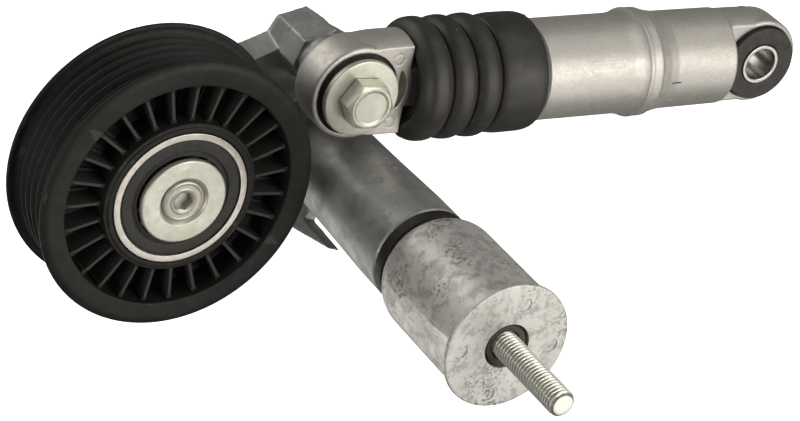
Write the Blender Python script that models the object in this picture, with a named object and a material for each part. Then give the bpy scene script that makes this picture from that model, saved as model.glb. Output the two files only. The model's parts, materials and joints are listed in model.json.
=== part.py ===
"""Belt tensioner idler: a torsion-sprung arm with a ribbed idler pulley and a hydraulic damper.

Frame: metres. The origin is the centre of the mounting face, on the pivot axis. +Y runs along the
pivot from the engine towards the arm, +X points from the pivot to the damper's free eye, +Z is up.
The damper's pieces are modelled in the damper's own frame: X along the rod, Y across the eyes.
"""
import math

import bmesh
import bpy
from mathutils import Vector

MM = 0.001
GAP = 0.3 * MM                      # room kept between two pieces that touch

# Axes, as (X, Z) places; each axis runs along Y except the damper's rod
PIVOT_AXIS = (0.0, 0.0)
PULLEY_AXIS = (-60.5 * MM, 23.1 * MM)
DAMPER_PIN_AXIS = (-0.5 * MM, 32.9 * MM)
DAMPER_MID_Y = 91.3 * MM
DAMPER_SLOPE = math.radians(11.7)   # the rod drops towards its free eye

# Base and pivot
BASE_RADIUS = 17.6 * MM
BASE_FACE_RADIUS = 19.0 * MM
BASE_LENGTH = 43.2 * MM
BASE_FLOOR = 9.0 * MM
SPRING_CAVITY_RADIUS = 12.0 * MM
SPIGOT_RADIUS = 12.9 * MM
SPIGOT_END = 52.0 * MM
COLLAR_HOLE_RADIUS = 6.5 * MM
TUBE_RADIUS = 6.5 * MM
TUBE_BORE_RADIUS = 4.5 * MM
BOLT_RADIUS = 3.93 * MM             # M8
BOLT_STICKS_OUT = 29.6 * MM

# Friction ring between the base and the arm
RING_RADIUS = 15.2 * MM
RING_START = 43.5 * MM
RING_END = 47.2 * MM

# Torsion spring
SPRING_MEAN_RADIUS = 9.3 * MM
SPRING_WIRE = 4.2 * MM
SPRING_START = 9.6 * MM
SPRING_END = 112.2 * MM
SPRING_TURNS = 12
SPRING_STEPS_PER_TURN = 10

# Arm
BARREL_START = 47.5 * MM
ARM_FRONT = 115.5 * MM
ARM_REAR = 126.0 * MM
ARM_CAVITY_END = 113.0 * MM
BUSH_BORE_RADIUS = 8.4 * MM
ARM_HUB_RADIUS = 20.0 * MM
PULLEY_BOSS_RADIUS = 13.0 * MM
DAMPER_BOSS_FRONT = 105.5 * MM
DAMPER_NECK_RADIUS = 8.4 * MM
DAMPER_NECK_FRONT = 98.8 * MM
DAMPER_BOSS_RADIUS = 9.7 * MM
DAMPER_BOSS_CORNERS = (0, 66, 126, 174, 240, 300)
BOLT_HOLE_RADIUS = 4.3 * MM
GUSSET_ANGLE = math.radians(241)
GUSSET_THICKNESS = 4.0 * MM

# Pulley and its ball bearing (17 x 40 x 12)
PULLEY_RADIUS = 40.8 * MM
PULLEY_FRONT = 74.7 * MM
PULLEY_REAR = 100.4 * MM
GROOVE_COUNT = 6
GROOVE_PITCH = 3.56 * MM
GROOVE_DEPTH = 2.6 * MM
GROOVE_CREST_RADIUS = 38.7 * MM
RECESS_RADIUS = 33.8 * MM
HUB_RADIUS = 22.7 * MM
HUB_FRONT = 73.9 * MM
HUB_BORE_RADIUS = 20.3 * MM
WEB_FRONT = 84.5 * MM
WEB_REAR = 88.5 * MM
HUB_REAR = 93.0 * MM
HUB_STOP = 86.1 * MM                # the shoulder behind the bearing
HUB_STOP_RADIUS = 18.6 * MM
RIB_COUNT = 27
RIB_PHASE = 0.73                    # where the first rib stands, as a share of their spacing
RIB_THICKNESS = 1.2 * MM
RIB_FRONT = 76.2 * MM
BEARING_FRONT = 73.8 * MM
BEARING_WIDTH = 12.0 * MM
BEARING_RADIUS = 20.0 * MM
BEARING_BORE_RADIUS = 8.5 * MM
BALL_RADIUS = 3.37 * MM
BALL_PITCH_RADIUS = 14.3 * MM
BALL_COUNT = 8
RACE_RADIUS = 3.6 * MM

# Damper, measured along its rod from the eye on the arm
EYE_TO_EYE = 138.6 * MM
EYE_HALF_WIDTH = 6.3 * MM
NEAR_EYE_RADIUS = 14.3 * MM
NEAR_HOLE_RADIUS = 12.7 * MM
FAR_EYE_RADIUS = 13.5 * MM
FAR_HOLE_RADIUS = 11.9 * MM
ROD_RADIUS = 4.0 * MM
BLOCK_END = 16.0 * MM
BLOCK_RADIUS = 15.2 * MM
BODY_START = 46.0 * MM
BODY_RADIUS = 14.95 * MM
BODY_REAR_RADIUS = 14.56 * MM
BODY_END = 125.4 * MM
BODY_BORE_RADIUS = 9.6 * MM
BODY_BORE_END = 117.0 * MM


def material(name, colour, roughness, metallic):
    """A Principled material with one colour."""
    made = bpy.data.materials.new(name)
    made.use_nodes = True
    shader = made.node_tree.nodes["Principled BSDF"]
    shader.inputs["Base Color"].default_value = (*colour, 1.0)
    shader.inputs["Roughness"].default_value = roughness
    shader.inputs["Metallic"].default_value = metallic
    return made


def axis_frame(name, location, slope=0.0, parent=None):
    """An empty on an axis, which carries the pieces centred on that axis."""
    empty = bpy.data.objects.new(name, None)
    empty.parent = parent
    empty.location = location
    empty.rotation_euler = (0.0, slope, 0.0)
    bpy.context.collection.objects.link(empty)
    return empty


def solid(name, bm, finish, frame):
    """Close a bmesh into a smooth-shaded object with outward faces, carried by a frame."""
    bmesh.ops.recalc_face_normals(bm, faces=bm.faces)
    if bm.calc_volume(signed=True) < 0.0:
        bmesh.ops.reverse_faces(bm, faces=bm.faces)
    mesh = bpy.data.meshes.new(name)
    bm.to_mesh(mesh)
    bm.free()
    mesh.shade_smooth()
    mesh.set_sharp_from_angle(angle=math.radians(35))
    mesh.materials.append(finish)
    made = bpy.data.objects.new(name, mesh)
    made.parent = frame
    bpy.context.collection.objects.link(made)
    return made


def hexagon_scale(angle):
    """How far a hexagon's edge lies from its centre at an angle, for a flat at distance 1."""
    return 1.0 / math.cos((angle + math.pi / 6) % (math.pi / 3) - math.pi / 6)


def turned(name, profile, finish, frame, segments=32, along="Y"):
    """Turn a profile of (distance along the frame's axis, radius) points.

    A profile that starts and ends on the axis makes a plug, any other one is closed into a ring.
    A third value of "hex" makes that point's section a hexagon whose flats lie at the radius.
    """
    bm = bmesh.new()
    plug = profile[0][1] == 0.0
    points = profile[1:-1] if plug else profile
    rows = []
    for point in points:
        row = []
        for step in range(segments):
            angle = 2.0 * math.pi * step / segments
            radius = point[1] * (hexagon_scale(angle) if len(point) > 2 else 1.0)
            side, up = radius * math.cos(angle), radius * math.sin(angle)
            place = (side, point[0], up) if along == "Y" else (point[0], side, up)
            row.append(bm.verts.new(place))
        rows.append(row)
    pairs = list(zip(rows, rows[1:])) if plug else list(zip(rows, rows[1:] + rows[:1]))
    for first, second in pairs:
        for step in range(segments):
            after = (step + 1) % segments
            bm.faces.new((first[step], first[after], second[after], second[step]))
    if plug:
        bm.faces.new(rows[0])
        bm.faces.new(rows[-1])
    return solid(name, bm, finish, frame)


def ring(name, start, end, inner, outer, finish, frame, **options):
    """A plain ring from start to end along its axis."""
    profile = [(start, inner), (start, outer), (end, outer), (end, inner)]
    return turned(name, profile, finish, frame, **options)


def prism(name, outline, start, end, finish, frame):
    """Extrude an (X, Z) outline along Y."""
    bm = bmesh.new()
    base = bm.faces.new([bm.verts.new((x, start, z)) for x, z in outline])
    extruded = bmesh.ops.extrude_face_region(bm, geom=[base])["geom"]
    moved = [item for item in extruded if isinstance(item, bmesh.types.BMVert)]
    bmesh.ops.translate(bm, verts=moved, vec=(0.0, end - start, 0.0))
    return solid(name, bm, finish, frame)


def add_box(bm, centre, size, turn):
    """Add a box to a bmesh, turned about Y through its own centre."""
    corners = bmesh.ops.create_cube(bm, size=1.0)["verts"]
    cosine, sine = math.cos(turn), math.sin(turn)
    for corner in corners:
        x, y, z = (corner.co[axis] * size[axis] for axis in range(3))
        corner.co = Vector(centre) + Vector((x * cosine - z * sine, y, x * sine + z * cosine))


def combine(target, tool, operation):
    """Join a tool to a target or cut it out, and hide the tool."""
    modifier = target.modifiers.new(tool.name, "BOOLEAN")
    modifier.operation = operation
    modifier.solver = "EXACT"
    modifier.object = tool
    tool.hide_render = True
    tool.display_type = "WIRE"


def arc(centre, radius, start_degrees, end_degrees, steps):
    """Points on an arc in the XZ plane."""
    points = []
    for step in range(steps + 1):
        angle = math.radians(start_degrees + (end_degrees - start_degrees) * step / steps)
        points.append((centre[0] + radius * math.cos(angle), centre[1] + radius * math.sin(angle)))
    return points


def clear_scene():
    for old in list(bpy.data.objects):
        bpy.data.objects.remove(old, do_unlink=True)


def build_base(frame, cast, rubber, steel, zinc, plastic):
    """The casting bolted to the engine, and what stays still with it."""
    turned("base_casting", [
        (0.0, COLLAR_HOLE_RADIUS), (0.0, BASE_FACE_RADIUS - 0.5 * MM), (0.5 * MM, BASE_FACE_RADIUS),
        (1.4 * MM, BASE_FACE_RADIUS), (2.0 * MM, BASE_RADIUS + 0.1 * MM),
        (BASE_LENGTH - 4.0 * MM, BASE_RADIUS), (BASE_LENGTH - 1.6 * MM, BASE_RADIUS - 0.8 * MM),
        (BASE_LENGTH, BASE_RADIUS - 2.8 * MM), (BASE_LENGTH, SPIGOT_RADIUS), (SPIGOT_END, SPIGOT_RADIUS),
        (SPIGOT_END, SPRING_CAVITY_RADIUS), (BASE_FLOOR, SPRING_CAVITY_RADIUS),
        (BASE_FLOOR, TUBE_RADIUS + GAP), (4.6 * MM, TUBE_RADIUS + GAP), (4.6 * MM, COLLAR_HOLE_RADIUS),
    ], cast, frame, segments=36)
    ring("captive_collar", 0.5 * MM, 4.2 * MM, BOLT_RADIUS + GAP, COLLAR_HOLE_RADIUS - GAP, rubber, frame,
         segments=24)
    ring("pivot_tube", 4.7 * MM, 127.6 * MM, TUBE_BORE_RADIUS, TUBE_RADIUS, steel, frame, segments=24)
    turned("friction_ring", [
        (RING_START, SPIGOT_RADIUS + GAP), (RING_START, RING_RADIUS), (RING_END, RING_RADIUS),
        (RING_END, SPIGOT_RADIUS + 0.8 * MM), (SPIGOT_END, SPIGOT_RADIUS + 0.8 * MM),
        (SPIGOT_END, SPIGOT_RADIUS + GAP),
    ], rubber, frame, segments=32)
    ring("thrust_washer", ARM_REAR + GAP, ARM_REAR + 1.3 * MM, TUBE_RADIUS + GAP, 13.5 * MM, plastic, frame,
         segments=24)
    ring("end_washer", 127.9 * MM, 130.4 * MM, BOLT_RADIUS + GAP, 14.0 * MM, zinc, frame, segments=24)
    turned("mounting_bolt", [
        (-BOLT_STICKS_OUT, 0.0), (-BOLT_STICKS_OUT, 3.0 * MM), (-BOLT_STICKS_OUT + 1.1 * MM, BOLT_RADIUS),
        (130.7 * MM, BOLT_RADIUS), (130.7 * MM, 8.4 * MM), (131.9 * MM, 8.4 * MM),
        (132.2 * MM, 6.5 * MM, "hex"), (136.8 * MM, 6.5 * MM, "hex"), (137.5 * MM, 5.8 * MM),
        (137.5 * MM, 0.0),
    ], zinc, frame, segments=24)
    build_spring(frame, steel)


def build_spring(frame, steel):
    """A coil of square wire around the pivot tube."""
    bm = bmesh.new()
    steps = SPRING_TURNS * SPRING_STEPS_PER_TURN
    rise = SPRING_END - SPRING_START - SPRING_WIRE
    half = SPRING_WIRE / 2.0
    sections = []
    for step in range(steps + 1):
        angle = 2.0 * math.pi * step / SPRING_STEPS_PER_TURN
        along = SPRING_START + half + rise * step / steps
        section = []
        for out, up in ((-half, -half), (half, -half), (half, half), (-half, half)):
            radius = SPRING_MEAN_RADIUS + out
            section.append(bm.verts.new((radius * math.cos(angle), along + up, radius * math.sin(angle))))
        sections.append(section)
    for first, second in zip(sections, sections[1:]):
        for corner in range(4):
            after = (corner + 1) % 4
            bm.faces.new((first[corner], first[after], second[after], second[corner]))
    bm.faces.new(sections[0])
    bm.faces.new(sections[-1])
    return solid("torsion_spring", bm, steel, frame)


def arm_outline():
    """The arm's plate, seen along the pivot: pulley boss, damper boss and pivot hub."""
    boss = arc(PULLEY_AXIS, PULLEY_BOSS_RADIUS, 78, 268, 14)
    hub = arc(PIVOT_AXIS, ARM_HUB_RADIUS, -125, 15, 12)
    shoulder = [(16.7, 27.0), (8.6, 35.8), (3.4, 40.2), (-6.0, 40.0), (-9.3, 35.0), (-15.5, 33.7),
                (-40.0, 31.0)]
    return boss + hub + [(x * MM, z * MM) for x, z in shoulder]


def build_arm(frame, pulley_frame, pin_frame, cast, plastic):
    """The swinging arm and its bush."""
    arm = turned("arm_casting", [
        (BARREL_START, 14.0 * MM), (BARREL_START, 15.2 * MM), (BARREL_START + 0.8 * MM, 15.7 * MM),
        (82.0 * MM, 14.4 * MM), (108.0 * MM, 13.8 * MM), (ARM_FRONT + 0.5 * MM, 16.0 * MM),
        (ARM_REAR - GAP, 16.0 * MM), (ARM_REAR - GAP, BUSH_BORE_RADIUS), (ARM_CAVITY_END, BUSH_BORE_RADIUS),
        (ARM_CAVITY_END, SPRING_CAVITY_RADIUS), (SPIGOT_END + 1.0 * MM, SPRING_CAVITY_RADIUS),
        (SPIGOT_END + 1.0 * MM, 14.0 * MM),
    ], cast, frame, segments=32)

    plate = prism("arm_plate", arm_outline(), ARM_FRONT, ARM_REAR, cast, frame)
    corners = [(DAMPER_BOSS_RADIUS * math.cos(math.radians(angle)),
                DAMPER_BOSS_RADIUS * math.sin(math.radians(angle))) for angle in DAMPER_BOSS_CORNERS]
    hex_boss = prism("arm_hex_boss", corners, DAMPER_BOSS_FRONT, ARM_FRONT + 3.0 * MM, cast, pin_frame)
    neck = turned("arm_damper_neck", [
        (DAMPER_NECK_FRONT, 0.0), (DAMPER_NECK_FRONT, DAMPER_NECK_RADIUS - 0.6 * MM),
        (DAMPER_NECK_FRONT + 0.6 * MM, DAMPER_NECK_RADIUS), (ARM_FRONT, DAMPER_NECK_RADIUS), (ARM_FRONT, 0.0),
    ], cast, pin_frame, segments=24)
    pulley_boss = turned("arm_pulley_boss", [
        (76.0 * MM, 0.0), (76.0 * MM, 7.7 * MM), (76.5 * MM, 8.2 * MM), (89.9 * MM, 8.2 * MM),
        (89.9 * MM, 11.5 * MM), (ARM_FRONT + 1.0 * MM, 12.6 * MM), (ARM_FRONT + 1.0 * MM, 0.0),
    ], cast, pulley_frame, segments=24)
    for piece in (plate, hex_boss, neck, pulley_boss, build_gusset(frame, cast)):
        combine(arm, piece, "UNION")

    pivot_hole = round_plug("pivot_hole", ARM_FRONT - 1.0 * MM, ARM_REAR + 2.0 * MM, BUSH_BORE_RADIUS,
                              frame, cast)
    damper_hole = round_plug("damper_bolt_hole", DAMPER_NECK_FRONT - 2.0 * MM, 123.0 * MM, BOLT_HOLE_RADIUS,
                               pin_frame, cast)
    pulley_hole = round_plug("pulley_bolt_hole", 70.0 * MM, 112.0 * MM, BOLT_HOLE_RADIUS,
                               pulley_frame, cast)
    for hole in (pivot_hole, damper_hole, pulley_hole):
        combine(arm, hole, "DIFFERENCE")

    ring("pivot_bush", ARM_CAVITY_END + GAP, ARM_REAR - GAP, TUBE_RADIUS + GAP, BUSH_BORE_RADIUS - GAP,
         plastic, frame, segments=24)


def round_plug(name, start, end, radius, frame, finish, **options):
    """A plain round bar, to join to a piece or to cut out of it."""
    profile = [(start, 0.0), (start, radius), (end, radius), (end, 0.0)]
    return turned(name, profile, finish, frame, **options)


def build_gusset(frame, cast):
    """A fin along the barrel's underside, whose tip stands off the barrel."""
    side = Vector((-math.sin(GUSSET_ANGLE), 0.0, math.cos(GUSSET_ANGLE))) * (GUSSET_THICKNESS / 2.0)
    out = Vector((math.cos(GUSSET_ANGLE), 0.0, math.sin(GUSSET_ANGLE)))
    outline = [(83.5, 18.9), (116.5, 26.0), (116.5, 12.8), (97.0, 12.8), (96.0, 18.4), (84.5, 18.6)]
    bm = bmesh.new()
    near = [bm.verts.new(out * (r * MM) + Vector((0.0, y * MM, 0.0)) - side) for y, r in outline]
    far = [bm.verts.new(vert.co + 2.0 * side) for vert in near]
    bm.faces.new(near)
    bm.faces.new(far)
    for index in range(len(outline)):
        after = (index + 1) % len(outline)
        bm.faces.new((near[index], near[after], far[after], far[index]))
    return solid("arm_gusset", bm, cast, frame)


def build_damper_bolt(frame, zinc, steel):
    """The bolt, washer and sleeve that hold the damper's eye to the arm."""
    turned("damper_bolt", [
        (76.2 * MM, 0.0), (76.2 * MM, 6.0 * MM), (76.7 * MM, 6.5 * MM, "hex"), (81.7 * MM, 6.5 * MM, "hex"),
        (81.7 * MM, BOLT_RADIUS), (121.0 * MM, BOLT_RADIUS), (121.7 * MM, 3.2 * MM), (121.7 * MM, 0.0),
    ], zinc, frame, segments=24)
    turned("damper_washer", [
        (82.0 * MM, BOLT_HOLE_RADIUS), (82.0 * MM, 11.5 * MM), (82.3 * MM, 11.74 * MM),
        (83.8 * MM, 11.74 * MM), (83.8 * MM, BOLT_HOLE_RADIUS),
    ], zinc, frame, segments=32)
    ring("near_sleeve", 84.1 * MM, 98.5 * MM, BOLT_HOLE_RADIUS, 8.0 * MM, steel, frame, segments=28)


def build_pulley_bolt(frame, zinc, steel):
    """The countersunk bolt, washer and spacer that clamp the bearing's inner ring."""
    turned("pulley_washer", [
        (71.8 * MM, 6.3 * MM), (71.8 * MM, 12.4 * MM), (72.1 * MM, 12.67 * MM), (73.5 * MM, 12.67 * MM),
        (73.5 * MM, 5.2 * MM),
    ], zinc, frame, segments=32)
    turned("pulley_bolt", [
        (74.4 * MM, 0.0), (74.4 * MM, 2.5 * MM, "hex"), (72.0 * MM, 2.5 * MM, "hex"), (72.0 * MM, 5.9 * MM),
        (72.3 * MM, 5.9 * MM), (75.2 * MM, BOLT_RADIUS), (110.0 * MM, BOLT_RADIUS), (111.0 * MM, 3.2 * MM),
        (111.0 * MM, 0.0),
    ], zinc, frame, segments=24)
    ring("pulley_spacer", 86.1 * MM, 89.6 * MM, BEARING_BORE_RADIUS, 11.4 * MM, steel, frame, segments=28)


def groove_profile():
    """The belt grooves, front to rear, between the two flanges."""
    middle = (PULLEY_FRONT + PULLEY_REAR) / 2.0
    start = middle - GROOVE_COUNT * GROOVE_PITCH / 2.0
    points = [(start, GROOVE_CREST_RADIUS)]
    for index in range(GROOVE_COUNT):
        root = start + (index + 0.5) * GROOVE_PITCH
        points.append((root, GROOVE_CREST_RADIUS - GROOVE_DEPTH))
        points.append((root + 0.5 * GROOVE_PITCH, GROOVE_CREST_RADIUS))
    return points


def build_pulley(frame, nylon, steel, seal):
    """The moulded pulley, as its grooved rim and its ribbed web, and the bearing parts that turn with it."""
    turned("pulley_rim", [
        (PULLEY_FRONT, RECESS_RADIUS), (PULLEY_FRONT, PULLEY_RADIUS - 2.0 * MM),
        (PULLEY_FRONT + 1.0 * MM, PULLEY_RADIUS), *groove_profile(), (PULLEY_REAR - 1.0 * MM, PULLEY_RADIUS),
        (PULLEY_REAR, PULLEY_RADIUS - 2.0 * MM), (PULLEY_REAR, RECESS_RADIUS),
    ], nylon, frame, segments=40)

    web_radius = RECESS_RADIUS * math.cos(math.pi / 40) - GAP
    web = turned("pulley_web", [
        (HUB_FRONT, HUB_BORE_RADIUS), (HUB_FRONT, HUB_RADIUS), (WEB_FRONT, HUB_RADIUS + 0.3 * MM),
        (WEB_FRONT, web_radius), (WEB_REAR, web_radius), (WEB_REAR, HUB_RADIUS + 0.2 * MM),
        (HUB_REAR, HUB_RADIUS), (HUB_REAR, HUB_STOP_RADIUS), (HUB_STOP, HUB_STOP_RADIUS),
        (HUB_STOP, HUB_BORE_RADIUS),
    ], nylon, frame, segments=40)
    bm = bmesh.new()
    rib_start, rib_end = HUB_RADIUS - 1.2 * MM, web_radius - 0.2 * MM
    rib_rear = WEB_FRONT + 1.0 * MM
    middle = (rib_start + rib_end) / 2.0
    for index in range(RIB_COUNT):
        angle = 2.0 * math.pi * (index + RIB_PHASE) / RIB_COUNT
        centre = (middle * math.cos(angle), (RIB_FRONT + rib_rear) / 2.0, middle * math.sin(angle))
        add_box(bm, centre, (rib_end - rib_start, rib_rear - RIB_FRONT, RIB_THICKNESS), angle)
    combine(web, solid("pulley_ribs", bm, nylon, frame), "UNION")

    edge = 0.6 * MM
    middle = BEARING_FRONT + BEARING_WIDTH / 2.0
    rear_face = BEARING_FRONT + BEARING_WIDTH
    race_bottom = BALL_PITCH_RADIUS + RACE_RADIUS
    race_side = race_bottom - 0.3 * MM
    land = 16.6 * MM
    recess = 18.3 * MM
    turned("bearing_outer_ring", [
        (BEARING_FRONT, recess), (BEARING_FRONT, BEARING_RADIUS - edge),
        (BEARING_FRONT + edge, BEARING_RADIUS), (rear_face - edge, BEARING_RADIUS),
        (rear_face, BEARING_RADIUS - edge), (rear_face, recess), (rear_face - 1.5 * MM, recess),
        (rear_face - 1.5 * MM, land), (middle + 2.7 * MM, land), (middle + 1.6 * MM, race_side),
        (middle, race_bottom), (middle - 1.6 * MM, race_side), (middle - 2.7 * MM, land),
        (BEARING_FRONT + 1.5 * MM, land), (BEARING_FRONT + 1.5 * MM, recess),
    ], steel, frame, segments=28)
    for name, start in (("front_seal", BEARING_FRONT + 0.2 * MM), ("rear_seal", rear_face - 1.2 * MM)):
        ring(name, start, start + 1.0 * MM, 12.8 * MM, recess - GAP, seal, frame, segments=28)


def build_inner_ring(frame, steel):
    """The bearing's inner ring, clamped to the arm."""
    middle = BEARING_FRONT + BEARING_WIDTH / 2.0
    rear = BEARING_FRONT + BEARING_WIDTH
    shoulder = 12.4 * MM
    bottom = BALL_PITCH_RADIUS - RACE_RADIUS
    turned("bearing_inner_ring", [
        (BEARING_FRONT, BEARING_BORE_RADIUS), (BEARING_FRONT, shoulder), (middle - 2.9 * MM, shoulder),
        (middle - 1.6 * MM, bottom + 0.5 * MM), (middle, bottom), (middle + 1.6 * MM, bottom + 0.5 * MM),
        (middle + 2.9 * MM, shoulder), (rear, shoulder), (rear, BEARING_BORE_RADIUS),
    ], steel, frame, segments=24)


def build_cage(frame, plastic, steel):
    """The bearing's balls and the crown cage that spaces them."""
    middle = BEARING_FRONT + BEARING_WIDTH / 2.0
    cage = ring("ball_cage", middle - 1.6 * MM, middle + 4.4 * MM, 13.2 * MM, 15.4 * MM, plastic, frame,
                segments=32)
    cutter = bmesh.new()
    for index in range(BALL_COUNT):
        angle = 2.0 * math.pi * (index + 0.25) / BALL_COUNT
        out = Vector((math.cos(angle), 0.0, math.sin(angle)))
        place = Vector((0.0, middle, 0.0)) + out * BALL_PITCH_RADIUS
        turn = out.to_track_quat("Z", "Y").to_matrix().to_4x4()
        turn.translation = place
        bmesh.ops.create_cone(cutter, cap_ends=True, segments=12, radius1=BALL_RADIUS + GAP,
                              radius2=BALL_RADIUS + GAP, depth=8.0 * MM, matrix=turn)
        ball = bmesh.new()
        bmesh.ops.create_icosphere(ball, subdivisions=2, radius=BALL_RADIUS)
        bmesh.ops.translate(ball, verts=ball.verts, vec=place)
        solid("ball_%d" % (index + 1), ball, steel, frame)
    combine(cage, solid("cage_pockets", cutter, plastic, frame), "DIFFERENCE")


def flat_block(name, start, end, radius, finish, frame):
    """A round bar along the rod, flattened front and rear to the eyes' width."""
    bar = turned(name, [(start, 0.0), (start, radius), (end, radius), (end, 0.0)], finish, frame,
                 segments=32, along="X")
    for vert in bar.data.vertices:
        vert.co.y = max(-EYE_HALF_WIDTH, min(EYE_HALF_WIDTH, vert.co.y))
    return bar


def eye_profile(radius):
    """The rounded rim of an eye, as a plug along Y that stands just proud of its flat block."""
    half_width = EYE_HALF_WIDTH + 0.02 * MM
    return [(-half_width, 0.0), (-half_width, radius - 1.2 * MM), (-half_width + 0.5 * MM, radius - 0.4 * MM),
            (-half_width + 1.5 * MM, radius), (half_width - 1.5 * MM, radius),
            (half_width - 0.5 * MM, radius - 0.4 * MM), (half_width, radius - 1.2 * MM), (half_width, 0.0)]


def build_rod_end(frame, cast, rubber, steel, plastic):
    """The damper's near eye, its rod and piston, and the bellows."""
    eye = turned("rod_eye", eye_profile(NEAR_EYE_RADIUS), cast, frame, segments=36)
    block = flat_block("rod_eye_block", 0.0, BLOCK_END, BLOCK_RADIUS, cast, frame)
    neck = round_plug("rod_eye_neck", 14.0 * MM, 26.0 * MM, 8.0 * MM, frame, cast, segments=24, along="X")
    combine(eye, block, "UNION")
    combine(eye, neck, "UNION")
    hole = round_plug("rod_eye_hole", -9.0 * MM, 9.0 * MM, NEAR_HOLE_RADIUS, frame, cast)
    socket = round_plug("rod_socket", 17.7 * MM, 28.0 * MM, ROD_RADIUS + GAP, frame, cast, segments=20,
                          along="X")
    combine(eye, hole, "DIFFERENCE")
    combine(eye, socket, "DIFFERENCE")
    ring("near_bush", -5.9 * MM, 5.9 * MM, 8.3 * MM, NEAR_HOLE_RADIUS - GAP, rubber, frame, segments=32)

    turned("piston_rod", [
        (18.0 * MM, 0.0), (18.0 * MM, ROD_RADIUS), (83.6 * MM, ROD_RADIUS), (83.6 * MM, 3.0 * MM),
        (95.0 * MM, 3.0 * MM), (95.0 * MM, 0.0),
    ], steel, frame, segments=20, along="X")
    turned("piston", [
        (83.9 * MM, 3.3 * MM), (83.9 * MM, 7.9 * MM), (86.5 * MM, 7.9 * MM), (86.5 * MM, 6.6 * MM),
        (88.5 * MM, 6.6 * MM), (88.5 * MM, 7.9 * MM), (91.0 * MM, 7.9 * MM), (91.0 * MM, 3.3 * MM),
    ], steel, frame, segments=24, along="X")
    ring("piston_ring", 86.8 * MM, 88.2 * MM, 6.9 * MM, 8.0 * MM, plastic, frame, segments=24, along="X")
    turned("piston_nut", [(91.3 * MM, 3.3 * MM), (91.3 * MM, 5.0 * MM, "hex"), (94.6 * MM, 5.0 * MM, "hex"),
                          (94.6 * MM, 3.3 * MM)], steel, frame, segments=24, along="X")
    build_bellows(frame, rubber)


def bellows_profile(crest, valley, wall):
    """The bellows' wall as a closed profile: end wall, three folds and a cuff on the damper body."""
    folds = ((21.4, 4.4), (29.8, 4.0), (38.0, 4.0))
    outside = [(16.4, 13.4), (17.3, 15.7)]
    inside = []
    for middle, half in folds:
        outside += [(middle - half * 0.45, crest - 0.2), (middle + half * 0.3, crest),
                    (middle + half * 0.75, crest - 0.9), (middle + half, valley)]
        inside += [(middle, crest - wall), (middle + half, valley - wall)]
    cuff = [(43.6, 17.0), (46.0, 17.5), (55.4, 17.4), (57.0, 16.9), (57.5, 15.9), (57.5, 14.5), (45.2, 14.5)]
    lip = [(18.4, 12.6), (18.2, 8.3), (16.4, 8.3)]
    return [(along * MM, radius * MM) for along, radius in outside + cuff + inside[::-1] + lip]


def build_bellows(frame, rubber):
    turned("bellows", bellows_profile(crest=18.0, valley=15.4, wall=2.0), rubber, frame, segments=28,
           along="X")


def build_damper_body(frame, far_frame, cast, rubber, steel, plastic):
    """The damper's housing and what is fixed inside it."""
    body = turned("damper_body", [
        (BODY_START, BODY_BORE_RADIUS), (BODY_START, 13.8 * MM), (BODY_START + 0.5 * MM, 14.2 * MM),
        (58.5 * MM, 14.2 * MM), (58.9 * MM, BODY_RADIUS), (90.0 * MM, BODY_RADIUS), (93.0 * MM, 15.9 * MM),
        (95.0 * MM, 16.2 * MM), (97.5 * MM, 16.2 * MM), (100.0 * MM, 15.5 * MM), (103.0 * MM, 15.0 * MM),
        (105.0 * MM, BODY_REAR_RADIUS), (BODY_END, BODY_REAR_RADIUS - 0.1 * MM), (BODY_END, 0.5 * MM),
        (BODY_BORE_END, 0.5 * MM), (BODY_BORE_END, BODY_BORE_RADIUS),
    ], cast, frame, segments=30, along="X")
    far_block = flat_block("far_eye_block", BODY_BORE_END + 4.0 * MM, EYE_TO_EYE, BODY_REAR_RADIUS - 0.3 * MM,
                           cast, frame)
    far_eye = turned("far_eye", eye_profile(FAR_EYE_RADIUS), cast, far_frame, segments=36)
    far_hole = round_plug("far_eye_hole", -20.0 * MM, 20.0 * MM, FAR_HOLE_RADIUS, far_frame, cast)
    combine(body, far_block, "UNION")
    combine(body, far_eye, "UNION")
    combine(body, far_hole, "DIFFERENCE")

    bore = BODY_BORE_RADIUS - GAP
    ring("rod_seal", 46.4 * MM, 48.4 * MM, ROD_RADIUS + GAP, bore, rubber, frame, segments=24, along="X")
    ring("rod_guide", 48.7 * MM, 57.4 * MM, ROD_RADIUS + GAP, bore, steel, frame, segments=24, along="X")
    ring("pressure_tube", 57.7 * MM, 116.6 * MM, 8.25 * MM, bore, steel, frame, segments=24, along="X")
    ring("foot_valve", 109.0 * MM, 114.0 * MM, 1.2 * MM, 7.9 * MM, plastic, frame, segments=24, along="X")
    turned("far_bush", [
        (-8.1 * MM, 6.7 * MM), (-8.1 * MM, 11.2 * MM), (-7.8 * MM, 11.6 * MM), (7.8 * MM, 11.6 * MM),
        (8.1 * MM, 11.2 * MM), (8.1 * MM, 6.7 * MM),
    ], rubber, far_frame, segments=32)
    ring("far_sleeve", -8.3 * MM, 8.3 * MM, 5.0 * MM, 6.36 * MM, steel, far_frame, segments=28)


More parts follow.
